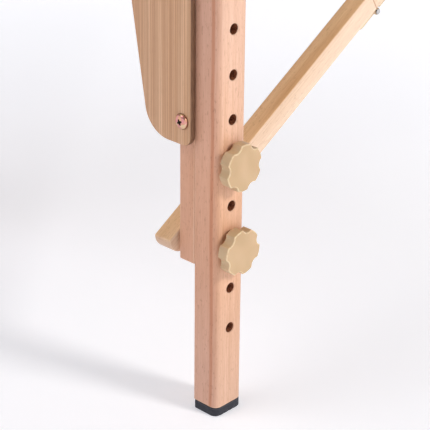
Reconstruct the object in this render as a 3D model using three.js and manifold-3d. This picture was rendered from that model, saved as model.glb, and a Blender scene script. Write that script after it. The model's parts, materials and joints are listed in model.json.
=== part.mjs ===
// Folding, height-adjustable end leg frame of a portable wooden table.
// Millimetres, +Z up. +X points to the middle of the table, and the two legs stand at -Y (front)
// and +Y (rear). The origin is the centre of the mounting rail's top face.
import * as THREE from 'three';
import { mergeVertices } from 'three/addons/utils/BufferGeometryUtils.js';
import Module from 'manifold-3d';

const wasm = await Module();
wasm.setup();

// ---- driving dimensions -------------------------------------------------------------------------

const CLEAR = 0.3; // gap kept between touching pieces

const FRAME_W = 600; // over the outer faces of the two extension legs
const FLOOR_Z = -632; // the floor, under the mounting rail's top face
const LEG_W = 35; // leg width along X
const EXTENSION_T = 28; // extension leg thickness along Y
const UPPER_T = 18; // fixed upper leg thickness along Y
const ARRIS_R = 7; // rounding of the extension leg's two outer edges

const RAIL_W = 50; // mounting rail along X
const RAIL_T = 22;
const RAIL_L = FRAME_W - 2 * EXTENSION_T - 2 * CLEAR;
const HINGE_RAIL_H = 45;

const FOOT_H = 8.4; // rubber foot, floor to wood
const FOOT_INNER_R = 3; // rounding of the foot's two inner corners
const EXTENSION_TOP = 430; // top of the extension leg above the floor
const HOLE_PITCH = 40;
const HOLE_COUNT = 9;
const LOWEST_HOLE = 88; // above the floor
const HOLE_R = 4.8;
const LOWER_BOLT_HOLE = 2; // holes that the clamp bolts use, counted up from the lowest
const UPPER_BOLT_HOLE = 4;
const UPPER_LEG_END = 20.4; // wood below the lower bolt

const BOLT_R = 3.9;
const BOLT_FIT = BOLT_R + CLEAR;
const CLAMP_HEAD = { r: 9.5, h: 4.3 };
const PIVOT_HEAD = { r: 7, h: 3.6 };
const SINK_R = 7.8; // pivot bolt head's recess in the strut
const SINK = 4;

const KNOB_R = 21.4; // over the lobes
const KNOB_LOBES = 6;
const KNOB_FLUTE = 3.1; // depth of the scooped flutes between lobes
const KNOB_SCOOP_R = 6.5;
const KNOB_FACE = 15; // front face to the leg
const KNOB_RIM = 11;
const KNOB_BEVEL = 1.2;
const HUB_R = 10.5;
const WASHER_R = 10;
const WASHER_T = 1.2;
const KNOB_BORE = 12; // bolt hole's depth, from the leg
const KNOB_TURNS = { upper: 0.61, lower: 0.24 }; // how far round each knob was left, radians
const NUT_R = 7.5; // over the corners

const PANEL_T = 6;
const PANEL_EDGE = 27; // panel's outer edge, in from the outer face of the leg
const PANEL_LOW = 261; // lowest point above the floor
const PANEL_CORNER_R = 9;
const PANEL_LOBE_R = 28.5;
const PANEL_LOBE_IN = 54; // centre of the lobe's large curve, in from the outer face
const PANEL_SLANT = 9.7; // lobe edge from vertical, degrees
const PANEL_SHOULDER = 465; // where the slanted edge runs into the arch, above the floor
const PANEL_CROWN = 540; // crown of the arch above the floor
const CROWN_PULL = 110; // how far the crown's flat curve reaches to each side
const SHOULDER_PULL = [34, 52]; // handle of the arch's lower end, inwards and upwards
const PANEL_TOP_GAP = 2;
const PANEL_SCREW_IN = 36.5; // panel screws, in from the outer face
const PANEL_SCREWS = [283, 560]; // above the floor

const STRUT_ANGLE = 32; // above horizontal, degrees
const STRUT_H = 21.5;
const STRUT_T = 19.5;
const STRUT_GAP = 5; // between the upper leg's inner face and the strut
const STRUT_END = 24.6; // strut past its lower pivot
const STRUT_END_R = 15;
const STRUT_END_RISE = 2.8; // centre of the end's curve above the strut's middle

const BARREL_R = 3.5;
const PIN_R = 1.5;
const LEAF_T = 2;
const PIN_HEAD_R = 2.8;
const PIN_HEAD_T = 0.9;
const HINGE_L = 64;
const HINGE_LEAF = 30; // hinge axis to the leaf's far edge
const HINGE_Y = 170; // middle of each leg hinge from the centre
const ELBOW_L = 18;
const ELBOW_LEAF = 28;
const AXIS_OUT = BARREL_R + CLEAR; // hinge axis from the wood that the leaf lies on

const BRACKET_T = 2.2;
const BRACKET_L = 56;
const BRACKET_DROP = 27;
const CHEEK_TOP = 37; // cheek's width at the plate
const CHEEK_TIP_R = 8;
const BRACKET_BORE_R = 2.4;
const BRACKET_BORE_IN = 7; // from each end of the plate
const RIVET_R = 2.9;
const RIVET_HEAD_R = 4.9;
const RIVET_HEAD_T = 2;
const TABLE_BORE_R = 2.8;
const TABLE_BORE_X = -10;

// ---- worked-out places --------------------------------------------------------------------------

const LEG_X0 = RAIL_W / 2 - LEG_W; // -X face of the legs: their +X faces are flush with the rail
const LEG_XC = LEG_X0 + LEG_W / 2;
const LEG_TOP = -RAIL_T - CLEAR;
const INNER_FACE = EXTENSION_T + UPPER_T; // upper leg's inner face, in from the outer face
const height = (h) => FLOOR_Z + h; // Z of a height above the floor
const holeZ = (n) => height(LOWEST_HOLE + n * HOLE_PITCH);
const LOWER_BOLT_Z = holeZ(LOWER_BOLT_HOLE);
const UPPER_BOLT_Z = holeZ(UPPER_BOLT_HOLE);

const FOLD_X = RAIL_W / 2 + AXIS_OUT; // the leg hinges' axis
const FOLD_Z = -RAIL_T - CLEAR / 2;

// The strut runs from the lower clamp bolt to a bracket under the table. Its elbow lies where both
// the straight strut and the flat-folded strut end in the same bracket.
const ELBOW_OUT = STRUT_H / 2 + AXIS_OUT; // elbow axis below the strut's middle
const strutAngle = THREE.MathUtils.degToRad(STRUT_ANGLE);
const BRACKET_PIN_Z = FOLD_Z + LEG_XC + 2 * ELBOW_OUT - FOLD_X;
const STRUT_L = (BRACKET_PIN_Z - LOWER_BOLT_Z) / Math.sin(strutAngle);
const BRACKET_PIN_X = LEG_XC + STRUT_L * Math.cos(strutAngle);
const ELBOW_AT = (FOLD_X + FOLD_Z - LOWER_BOLT_Z + STRUT_L - BRACKET_PIN_X) / 2;

// ---- materials ----------------------------------------------------------------------------------

const finish = (color, roughness, metalness = 0) =>
  new THREE.MeshStandardMaterial({ color, roughness, metalness });
const beech = finish(0xdcae8c, 0.5);
const beechRail = finish(0xd2a27c, 0.55);
const veneer = finish(0xcfa885, 0.5);
const knobPlastic = finish(0xe0c093, 0.4);
const rubber = finish(0x2c303c, 0.85);
const zinc = finish(0xc9b9a0, 0.35, 1);
const steel = finish(0x9b9da0, 0.35, 1);

// ---- solids -------------------------------------------------------------------------------------

function toSolid(geometry) {
  const bare = new THREE.BufferGeometry();
  bare.setAttribute('position', geometry.getAttribute('position'));
  bare.setIndex(geometry.getIndex());
  const merged = mergeVertices(bare, 1e-3);
  const corners = merged.getIndex().array;
  const triangles = [];
  for (let i = 0; i < corners.length; i += 3) {
    const [a, b, c] = [corners[i], corners[i + 1], corners[i + 2]];
    if (a !== b && b !== c && c !== a) triangles.push(a, b, c);
  }
  return new wasm.Manifold(new wasm.Mesh({
    numProp: 3,
    vertProperties: new Float32Array(merged.getAttribute('position').array),
    triVerts: new Uint32Array(triangles),
  }));
}

function toGeometry(solid) {
  const mesh = solid.getMesh();
  const geometry = new THREE.BufferGeometry();
  geometry.setAttribute('position', new THREE.BufferAttribute(mesh.vertProperties, 3));
  geometry.setIndex(new THREE.BufferAttribute(mesh.triVerts, 1));
  geometry.computeVertexNormals();
  return geometry;
}

const cut = (geometry, tools) =>
  toGeometry(tools.reduce((solid, tool) => solid.subtract(toSolid(tool)), toSolid(geometry)));

const join = (geometries) =>
  toGeometry(geometries.map(toSolid).reduce((whole, piece) => whole.add(piece)));

const X_AXIS = new THREE.Vector3(1, 0, 0);
const Y_AXIS = new THREE.Vector3(0, 1, 0);
const Z_AXIS = new THREE.Vector3(0, 0, 1);

// A bar or bore of round section from one point to another.
function rod(radius, from, to, segments = 12) {
  const start = new THREE.Vector3(...from);
  const along = new THREE.Vector3(...to).sub(start);
  const geometry = new THREE.CylinderGeometry(radius, radius, along.length(), segments);
  const turn = new THREE.Quaternion().setFromUnitVectors(Y_AXIS, along.clone().normalize());
  geometry.applyQuaternion(turn);
  return geometry.translate(...start.addScaledVector(along, 0.5).toArray());
}

function block(x0, x1, y0, y1, z0, z1) {
  const geometry = new THREE.BoxGeometry(x1 - x0, y1 - y0, z1 - z0);
  return geometry.translate((x0 + x1) / 2, (y0 + y1) / 2, (z0 + z1) / 2);
}

// A shape drawn in X and Z, extruded along Y from y0 to y1.
function slabXZ(shape, y0, y1, bevel = 0, bevelSegments = 1, curveSegments = 6) {
  const geometry = new THREE.ExtrudeGeometry(shape, {
    depth: y1 - y0 - 2 * bevel,
    curveSegments,
    bevelEnabled: bevel > 0,
    bevelThickness: bevel,
    bevelSize: bevel,
    bevelOffset: -bevel,
    bevelSegments,
  });
  const basis = new THREE.Matrix4().makeBasis(X_AXIS, Z_AXIS, Y_AXIS.clone().negate());
  return geometry.applyMatrix4(basis).translate(0, y1 - bevel, 0);
}

// A shape drawn in Y and Z, extruded along X from x0 to x1.
function slabYZ(shape, x0, x1) {
  const geometry = new THREE.ExtrudeGeometry(shape, {
    depth: x1 - x0,
    curveSegments: 6,
    bevelEnabled: false,
  });
  const basis = new THREE.Matrix4().makeBasis(Y_AXIS, Z_AXIS, X_AXIS);
  return geometry.applyMatrix4(basis).translate(x0, 0, 0);
}

function roundHole(shape, x, z, radius) {
  const hole = new THREE.Path();
  hole.absarc(x, z, radius, 0, 2 * Math.PI, true);
  shape.holes.push(hole);
}

// A turned piece on the Y axis from a profile of [radius, y] points, listed upwards.
function turned(profile, segments) {
  return new THREE.LatheGeometry(profile.map(([r, y]) => new THREE.Vector2(r, y)), segments);
}

const group = new THREE.Group();

function place(name, geometry, material, x = 0, y = 0, z = 0) {
  const mesh = new THREE.Mesh(geometry, material);
  mesh.name = name;
  mesh.position.set(x, y, z);
  group.add(mesh);
  return mesh;
}

// Y of a depth in from the outer face of the front (-1) or rear (+1) extension leg.
const inY = (side, depth) => side * (FRAME_W / 2 - depth);
const SIDES = [['front', -1], ['rear', 1]];

// ---- fasteners ----------------------------------------------------------------------------------

const DOME = [0.7, 0.75]; // a point on every domed head, as shares of its radius and height
const TIP = 1.5; // length of a shank's pointed end, in shank radii

// Head up +Y with its underside at the origin, shank down -Y.
function domedScrew(headR, headH, shankR, length, segments) {
  return turned([
    [0, -length],
    [shankR, -length + TIP * shankR],
    [shankR, 0],
    [headR, 0],
    [headR * DOME[0], headH * DOME[1]],
    [0, headH],
  ], segments);
}

const LEAF_SCREW = { head: 3.4, height: 1.8, shank: 1.6, length: 13 };
const RAIL_SCREW = { head: 6.5, height: 3.2, shank: 2.6, length: 55 };
const PANEL_SCREW = { head: 6.7, height: 3.6, shank: 2.1, length: 24 };
const screwGeometry = (s, segments) => domedScrew(s.head, s.height, s.shank, s.length, segments);
const pilot = (s) => s.shank + CLEAR;

// ---- hinges -------------------------------------------------------------------------------------

// One leaf with its knuckles on the Y axis. The leaf lies on wood at x = -AXIS_OUT, runs up +Z,
// and knuckles are [y0, y1] stretches of the barrel.
function hingeLeaf(length, reach, knuckles, holes) {
  const back = -BARREL_R;
  const front = back + LEAF_T;
  const clearOfBarrel = BARREL_R + 1;
  const pieces = [block(back, front, -length / 2, length / 2, clearOfBarrel, reach)];
  for (const [y0, y1] of knuckles) {
    pieces.push(rod(BARREL_R, [0, y0, 0], [0, y1, 0], 10));
    pieces.push(block(back, front, y0, y1, 0, clearOfBarrel + 1));
  }
  const tools = [rod(PIN_R + CLEAR, [0, -length, 0], [0, length, 0], 8)];
  for (const [y, z] of holes) {
    tools.push(rod(pilot(LEAF_SCREW), [back - 1, y, z], [front + 1, y, z], 8));
  }
  return cut(join(pieces), tools);
}

const outerKnuckles = (l) => [[-l / 2, -l / 6 - CLEAR], [l / 6 + CLEAR, l / 2]];
const middleKnuckle = (l) => [[-l / 6, l / 6]];

function hingePin(length) {
  const inner = length / 2 + CLEAR;
  const outer = inner + PIN_HEAD_T;
  return turned([
    [0, -outer],
    [PIN_HEAD_R, -outer],
    [PIN_HEAD_R, -inner],
    [PIN_R, -inner],
    [PIN_R, inner],
    [PIN_HEAD_R, inner],
    [PIN_HEAD_R, outer],
    [0, outer],
  ], 8);
}

// ---- rails and leg hinges -----------------------------------------------------------------------

const HINGE_CENTRES = { front: -HINGE_Y, rear: HINGE_Y };
const RAIL_FACE = RAIL_W / 2; // +X face of both rails, which the leaves lie on
const LEAF_HOLE_Y = 21; // leaf screws from the middle of the hinge
const FIXED_SCREW = 13; // leaf screws from the hinge axis
const MOVING_SCREW = 20;
const FIXED_REACH = 20; // hinge axis to the fixed leaf's far edge
const TABLE_SCREWS = [-235, -90, 90, 235];
const RAIL_SCREW_Z = [LEG_TOP - 12, LEG_TOP - 33];

// Pilot bores for the leaf screws in the rails' +X faces.
function leafPilots(z) {
  const bores = [];
  for (const centre of Object.values(HINGE_CENTRES)) {
    for (const y of [centre - LEAF_HOLE_Y, centre + LEAF_HOLE_Y]) {
      const bottom = [RAIL_FACE - LEAF_SCREW.length - 1, y, z];
      bores.push(rod(pilot(LEAF_SCREW), bottom, [RAIL_FACE + 1, y, z], 8));
    }
  }
  return bores;
}

function mountingRail() {
  const bores = TABLE_SCREWS.map((y) => (
    rod(TABLE_BORE_R, [TABLE_BORE_X, y, -RAIL_T - 1], [TABLE_BORE_X, y, 1], 8)));
  const bar = block(-RAIL_FACE, RAIL_FACE, -RAIL_L / 2, RAIL_L / 2, -RAIL_T, 0);
  return cut(bar, [...bores, ...leafPilots(FOLD_Z + FIXED_SCREW)]);
}

function hingeRail() {
  const end = FRAME_W / 2 - INNER_FACE - CLEAR;
  const reach = RAIL_SCREW.length - UPPER_T + 2;
  const bores = leafPilots(FOLD_Z - MOVING_SCREW);
  for (const side of [-1, 1]) {
    for (const z of RAIL_SCREW_Z) {
      const mouth = [LEG_XC, side * (end + 1), z];
      bores.push(rod(pilot(RAIL_SCREW), mouth, [LEG_XC, side * (end - reach), z], 8));
    }
  }
  const bar = block(LEG_X0, RAIL_FACE, -end, end, LEG_TOP - HINGE_RAIL_H, LEG_TOP);
  return cut(bar, bores);
}

place('mounting_rail', mountingRail(), beechRail);
place('hinge_rail', hingeRail(), beechRail);

const leafScrews = [-LEAF_HOLE_Y, LEAF_HOLE_Y];
for (const [side, centre] of Object.entries(HINGE_CENTRES)) {
  const fixedHoles = leafScrews.map((y) => [y, FIXED_SCREW]);
  const movingHoles = leafScrews.map((y) => [y, MOVING_SCREW]);
  const fixed = hingeLeaf(HINGE_L, FIXED_REACH, outerKnuckles(HINGE_L), fixedHoles);
  const moving = hingeLeaf(HINGE_L, HINGE_LEAF, middleKnuckle(HINGE_L), movingHoles);
  moving.applyMatrix4(new THREE.Matrix4().makeRotationX(Math.PI));
  place(`${side}_hinge_fixed_leaf`, fixed, zinc, FOLD_X, centre, FOLD_Z);
  place(`${side}_hinge_moving_leaf`, moving, zinc, FOLD_X, centre, FOLD_Z);
  place(`${side}_hinge_pin`, hingePin(HINGE_L), steel, FOLD_X, centre, FOLD_Z);
  for (const [leaf, z] of [['fixed', FOLD_Z + FIXED_SCREW], ['moving', FOLD_Z - MOVING_SCREW]]) {
    leafScrews.forEach((y, i) => {
      const x = FOLD_X - BARREL_R + LEAF_T + CLEAR;
      const screw = screwGeometry(LEAF_SCREW, 7);
      const mesh = place(`${side}_${leaf}_leaf_screw_${i + 1}`, screw, zinc, x, centre + y, z);
      mesh.rotation.z = -Math.PI / 2;
    });
  }
}

// ---- upper legs ---------------------------------------------------------------------------------

const UPPER_LEG_Z0 = LOWER_BOLT_Z - UPPER_LEG_END;

function upperLeg() {
  const shape = new THREE.Shape();
  shape.moveTo(LEG_X0, UPPER_LEG_Z0);
  shape.lineTo(LEG_X0 + LEG_W, UPPER_LEG_Z0);
  shape.lineTo(LEG_X0 + LEG_W, LEG_TOP);
  shape.lineTo(LEG_X0, LEG_TOP);
  shape.closePath();
  roundHole(shape, LEG_XC, LOWER_BOLT_Z, BOLT_FIT);
  roundHole(shape, LEG_XC, UPPER_BOLT_Z, BOLT_FIT);
  for (const z of RAIL_SCREW_Z) roundHole(shape, LEG_XC, z, pilot(RAIL_SCREW));
  return slabXZ(shape, -UPPER_T / 2, UPPER_T / 2);
}

for (const [name, side] of SIDES) {
  const middle = inY(side, EXTENSION_T + UPPER_T / 2);
  const screwY = inY(side, PANEL_SCREW_IN) - middle;
  const bores = PANEL_SCREWS.map((h) => {
    const mouth = [LEG_X0 - 1, screwY, height(h)];
    const bottom = [LEG_X0 + PANEL_SCREW.length - PANEL_T + 1, screwY, height(h)];
    return rod(pilot(PANEL_SCREW), mouth, bottom, 8);
  });
  place(`${name}_upper_leg`, cut(upperLeg(), bores), beech, 0, middle, 0);
  RAIL_SCREW_Z.forEach((z, i) => {
    const y = inY(side, EXTENSION_T - CLEAR);
    const screw = screwGeometry(RAIL_SCREW, 8);
    const mesh = place(`${name}_rail_screw_${i + 1}`, screw, zinc, LEG_XC, y, z);
    mesh.rotation.z = side < 0 ? Math.PI : 0;
  });
}

// ---- end panel ----------------------------------------------------------------------------------

// One half of the arched panel's outline, from the crown down to the lobe and up the outer edge,
// as points [distance in from the outer face, height above the floor].
function panelHalf() {
  const slant = THREE.MathUtils.degToRad(PANEL_SLANT);
  const lobeZ = PANEL_LOW + PANEL_LOBE_R;
  const tangentIn = PANEL_LOBE_IN + PANEL_LOBE_R * Math.cos(slant);
  const tangentZ = lobeZ - PANEL_LOBE_R * Math.sin(slant);
  const shoulderIn = tangentIn + (PANEL_SHOULDER - tangentZ) * Math.tan(slant);
  const path = new THREE.Path();
  path.moveTo(FRAME_W / 2, PANEL_CROWN);
  path.bezierCurveTo(
    FRAME_W / 2 - CROWN_PULL, PANEL_CROWN,
    shoulderIn + SHOULDER_PULL[0], PANEL_SHOULDER + SHOULDER_PULL[1],
    shoulderIn, PANEL_SHOULDER,
  );
  path.lineTo(tangentIn, tangentZ);
  path.absarc(PANEL_LOBE_IN, lobeZ, PANEL_LOBE_R, -slant, -Math.PI / 2, true);
  const cornerIn = PANEL_EDGE + PANEL_CORNER_R;
  path.absarc(cornerIn, PANEL_LOW + PANEL_CORNER_R, PANEL_CORNER_R, -Math.PI / 2, -Math.PI, true);
  path.lineTo(PANEL_EDGE, LEG_TOP - PANEL_TOP_GAP - FLOOR_Z);
  return path.getPoints(7);
}

function endPanel() {
  const half = panelHalf();
  const rear = half.map((p) => new THREE.Vector2(inY(1, p.x), height(p.y)));
  const front = half.map((p) => new THREE.Vector2(inY(-1, p.x), height(p.y)));
  const shape = new THREE.Shape([...rear.slice(1), ...front.reverse()]);
  for (const side of [-1, 1]) {
    for (const h of PANEL_SCREWS) {
      roundHole(shape, inY(side, PANEL_SCREW_IN), height(h), pilot(PANEL_SCREW));
    }
  }
  return slabYZ(shape, LEG_X0 - CLEAR - PANEL_T, LEG_X0 - CLEAR);
}

place('end_panel', endPanel(), veneer);
for (const [name, side] of SIDES) {
  PANEL_SCREWS.forEach((h, i) => {
    const x = LEG_X0 - PANEL_T - 2 * CLEAR;
    const y = inY(side, PANEL_SCREW_IN);
    const screw = screwGeometry(PANEL_SCREW, 10);
    const mesh = place(`${name}_panel_screw_${i + 1}`, screw, zinc, x, y, height(h));
    mesh.rotation.z = Math.PI / 2;
  });
}

// ---- extension legs and feet --------------------------------------------------------------------

// Outline of the leg in X and Y about its middle, with the outer (-Y) edges rounded by r and the
// inner ones by s.
function legOutline(r, s) {
  const x = LEG_W / 2;
  const y = EXTENSION_T / 2;
  const shape = new THREE.Shape();
  shape.absarc(-x + r, -y + r, r, Math.PI, 1.5 * Math.PI, false);
  shape.absarc(x - r, -y + r, r, 1.5 * Math.PI, 2 * Math.PI, false);
  if (s > 0) {
    shape.absarc(x - s, y - s, s, 0, 0.5 * Math.PI, false);
    shape.absarc(-x + s, y - s, s, 0.5 * Math.PI, Math.PI, false);
  } else {
    shape.lineTo(x, y);
    shape.lineTo(-x, y);
  }
  shape.closePath();
  return shape;
}

function extensionLeg() {
  const z0 = height(FOOT_H) + CLEAR;
  const z1 = height(EXTENSION_TOP);
  const bar = new THREE.ExtrudeGeometry(legOutline(ARRIS_R, 0), {
    depth: z1 - z0,
    curveSegments: 4,
    bevelEnabled: false,
  }).translate(0, 0, z0);
  const bores = [];
  for (let n = 0; n < HOLE_COUNT; n += 1) {
    bores.push(rod(HOLE_R, [0, -EXTENSION_T, holeZ(n)], [0, EXTENSION_T, holeZ(n)], 12));
  }
  return cut(bar, bores);
}

function rubberFoot() {
  const bevel = 1;
  return new THREE.ExtrudeGeometry(legOutline(ARRIS_R, FOOT_INNER_R), {
    depth: FOOT_H - 2 * bevel,
    curveSegments: 3,
    bevelEnabled: true,
    bevelThickness: bevel,
    bevelSize: bevel,
    bevelOffset: -bevel,
    bevelSegments: 1,
  }).translate(0, 0, FLOOR_Z + bevel);
}

for (const [name, side] of SIDES) {
  const turn = side < 0 ? 0 : Math.PI;
  const y = inY(side, EXTENSION_T / 2 - CLEAR / 2);
  place(`${name}_extension_leg`, extensionLeg(), beech, LEG_XC, y, 0).rotation.z = turn;
  place(`${name}_rubber_foot`, rubberFoot(), rubber, LEG_XC, y, 0).rotation.z = turn;
}

// ---- clamp bolts and star knobs -----------------------------------------------------------------

const SHANK_END = 11.5; // how far the bolts stand out of the leg
const STRUT_NEAR = INNER_FACE + STRUT_GAP; // strut's outer face, in from the outer face of the leg
const STRUT_FAR = STRUT_NEAR + STRUT_T;

// Domed bolt with its head up +Y, from the outer face of the leg at y = 0.
function boltGeometry(head, underHead) {
  const bolt = domedScrew(head.r, head.h, BOLT_R, underHead + SHANK_END, 12);
  return bolt.translate(0, underHead, 0);
}

function nutGeometry() {
  const shape = new THREE.Shape();
  for (let i = 0; i < 6; i += 1) {
    const a = (i * Math.PI) / 3;
    shape[i ? 'lineTo' : 'moveTo'](NUT_R * Math.cos(a), NUT_R * Math.sin(a));
  }
  shape.closePath();
  roundHole(shape, 0, 0, BOLT_FIT);
  return slabXZ(shape, INNER_FACE + CLEAR, STRUT_NEAR - CLEAR);
}

// Round outline with a scooped flute between each two lobes.
function knobOutline() {
  const scoopAt = KNOB_R - KNOB_FLUTE + KNOB_SCOOP_R;
  const lawOfCosines = scoopAt ** 2 + KNOB_R ** 2 - KNOB_SCOOP_R ** 2;
  const halfFlute = Math.acos(lawOfCosines / (2 * scoopAt * KNOB_R));
  const halfScoop = Math.asin((KNOB_R * Math.sin(halfFlute)) / KNOB_SCOOP_R);
  const halfPitch = Math.PI / KNOB_LOBES;
  const shape = new THREE.Shape();
  for (let i = 0; i < KNOB_LOBES; i += 1) {
    const lobe = 2 * halfPitch * i;
    const flute = lobe + halfPitch;
    const [x, y] = [scoopAt * Math.cos(flute), scoopAt * Math.sin(flute)];
    const halfLobe = halfPitch - halfFlute;
    shape.absarc(0, 0, KNOB_R, lobe - halfLobe, lobe + halfLobe, false);
    const inward = flute + Math.PI;
    shape.absarc(x, y, KNOB_SCOOP_R, inward + halfScoop, inward - halfScoop, true);
  }
  return shape;
}

function knobGeometry() {
  const rim = slabXZ(knobOutline(), -KNOB_FACE, KNOB_RIM - KNOB_FACE, KNOB_BEVEL, 1, 4);
  const hub = rod(HUB_R, [0, KNOB_RIM - KNOB_FACE - 1, 0], [0, -WASHER_T - 2 * CLEAR, 0], 14);
  return cut(join([rim, hub]), [rod(BOLT_FIT, [0, -KNOB_BORE, 0], [0, 1, 0], 12)]);
}

function washerGeometry() {
  const disc = rod(WASHER_R, [0, -WASHER_T - CLEAR, 0], [0, -CLEAR, 0], 16);
  return cut(disc, [rod(BOLT_FIT, [0, -WASHER_T - 1, 0], [0, 1, 0], 12)]);
}

for (const [name, side] of SIDES) {
  const turn = side < 0 ? 0 : Math.PI;
  const y = inY(side, 0);
  const levels = [
    ['upper', UPPER_BOLT_Z, 'clamp_bolt', boltGeometry(CLAMP_HEAD, INNER_FACE + CLEAR)],
    ['lower', LOWER_BOLT_Z, 'pivot_bolt', boltGeometry(PIVOT_HEAD, STRUT_FAR - SINK + CLEAR)],
  ];
  for (const [level, z, bolt, boltShape] of levels) {
    place(`${name}_${bolt}`, boltShape, zinc, LEG_XC, y, z).rotation.z = turn;
    const knob = place(`${name}_${level}_knob`, knobGeometry(), knobPlastic, LEG_XC, y, z);
    knob.rotation.set(0, KNOB_TURNS[level], turn);
    place(`${name}_${level}_washer`, washerGeometry(), zinc, LEG_XC, y, z).rotation.z = turn;
  }
  place(`${name}_pivot_nut`, nutGeometry(), zinc, LEG_XC, y, LOWER_BOLT_Z).rotation.z = turn;
}

// ---- folding struts -----------------------------------------------------------------------------

// Strut shapes are drawn along the strut: x from the lower pivot, y across it from the middle.
function lowerStrutShape() {
  const h = STRUT_H / 2;
  const shape = new THREE.Shape();
  const centre = STRUT_END_R - STRUT_END;
  const foot = Math.asin((h + STRUT_END_RISE) / STRUT_END_R);
  const top = Math.asin((h - STRUT_END_RISE) / STRUT_END_R);
  shape.absarc(centre, STRUT_END_RISE, STRUT_END_R, Math.PI - top, Math.PI + foot, false);
  shape.lineTo(ELBOW_AT - CLEAR / 2, -h);
  shape.lineTo(ELBOW_AT - CLEAR / 2, h);
  shape.closePath();
  roundHole(shape, 0, 0, BOLT_FIT);
  return shape;
}

// The pivot bolt's head is sunk in the face towards the middle of the frame.
function lowerStrut(side) {
  const half = STRUT_T / 2;
  const inward = -side;
  const recess = rod(SINK_R, [0, inward * (half - SINK), 0], [0, inward * (half + 1), 0], 16);
  return cut(slabXZ(lowerStrutShape(), -half, half), [recess]);
}

function upperStrutShape() {
  const h = STRUT_H / 2;
  const shape = new THREE.Shape();
  shape.moveTo(ELBOW_AT + CLEAR / 2, h);
  shape.lineTo(ELBOW_AT + CLEAR / 2, -h);
  shape.absarc(STRUT_L, 0, h, -Math.PI / 2, Math.PI / 2, false);
  shape.closePath();
  roundHole(shape, STRUT_L, 0, RIVET_R + CLEAR);
  return shape;
}

// Elbow leaf under the strut. The hinge's own frame has wood at -X and its leaf running up +Z, so
// it is turned to lie along the strut, towards the lower pivot (-1) or the bracket (+1).
function elbowLeaf(knuckles, towards) {
  const leaf = hingeLeaf(ELBOW_L, ELBOW_LEAF, knuckles, []);
  const wood = new THREE.Vector3(0, 0, 1);
  const along = new THREE.Vector3(towards, 0, 0);
  const barrel = new THREE.Vector3(0, towards, 0);
  const basis = new THREE.Matrix4().makeBasis(wood.clone().negate(), barrel, along);
  return leaf.applyMatrix4(basis).translate(ELBOW_AT, 0, -ELBOW_OUT);
}

// A clevis that the strut's upper end turns in, hung from a plate under the table.
function bracketGeometry() {
  const cheekIn = STRUT_T / 2 + CLEAR;
  const cheekOut = cheekIn + BRACKET_T;
  const pieces = [block(-BRACKET_L / 2, BRACKET_L / 2, -cheekOut, cheekOut, -BRACKET_T, 0)];
  const cheek = new THREE.Shape();
  cheek.absarc(0, CHEEK_TIP_R - BRACKET_DROP, CHEEK_TIP_R, Math.PI, 2 * Math.PI, false);
  cheek.lineTo(CHEEK_TOP / 2, -BRACKET_T / 2);
  cheek.lineTo(-CHEEK_TOP / 2, -BRACKET_T / 2);
  cheek.closePath();
  roundHole(cheek, 0, BRACKET_PIN_Z, RIVET_R + CLEAR);
  pieces.push(slabXZ(cheek, -cheekOut, -cheekIn));
  pieces.push(slabXZ(cheek, cheekIn, cheekOut));
  const boreX = BRACKET_L / 2 - BRACKET_BORE_IN;
  const bores = [-boreX, boreX].map((x) => (
    rod(BRACKET_BORE_R, [x, 0, -BRACKET_T - 1], [x, 0, 1], 8)));
  return cut(join(pieces), bores);
}

function rivetGeometry() {
  const half = STRUT_T / 2 + BRACKET_T + 2 * CLEAR;
  const domeR = RIVET_HEAD_R * DOME[0];
  const domeY = half + RIVET_HEAD_T * DOME[1];
  return turned([
    [0, -half - RIVET_HEAD_T],
    [domeR, -domeY],
    [RIVET_HEAD_R, -half],
    [RIVET_R, -half],
    [RIVET_R, half],
    [RIVET_HEAD_R, half],
    [domeR, domeY],
    [0, half + RIVET_HEAD_T],
  ], 8);
}

for (const [name, side] of SIDES) {
  const strut = new THREE.Group();
  strut.position.set(LEG_XC, inY(side, STRUT_NEAR + STRUT_T / 2), LOWER_BOLT_Z);
  strut.rotation.y = -strutAngle;
  group.add(strut);
  const half = STRUT_T / 2;
  const pieces = [
    ['lower_strut', lowerStrut(side), beechRail],
    ['upper_strut', slabXZ(upperStrutShape(), -half, half), beechRail],
    ['elbow_lower_leaf', elbowLeaf(outerKnuckles(ELBOW_L), -1), zinc],
    ['elbow_upper_leaf', elbowLeaf(middleKnuckle(ELBOW_L), 1), zinc],
    ['elbow_pin', hingePin(ELBOW_L).translate(ELBOW_AT, 0, -ELBOW_OUT), steel],
  ];
  for (const [piece, geometry, material] of pieces) {
    const mesh = new THREE.Mesh(geometry, material);
    mesh.name = `${name}_${piece}`;
    strut.add(mesh);
  }
  const middle = strut.position.y;
  place(`${name}_strut_bracket`, bracketGeometry(), zinc, BRACKET_PIN_X, middle, 0);
  place(`${name}_bracket_rivet`, rivetGeometry(), steel, BRACKET_PIN_X, middle, BRACKET_PIN_Z);
}

export default group;
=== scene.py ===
"""Looks of the folding table leg frame, in fine wood, metal, plastic and rubber pieces.

Shapes are drawn in millimetres in each piece's own axes, with wood grain along local Z.
"""

import json
import math

import bmesh
import bpy
from mathutils import Matrix, Vector


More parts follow.
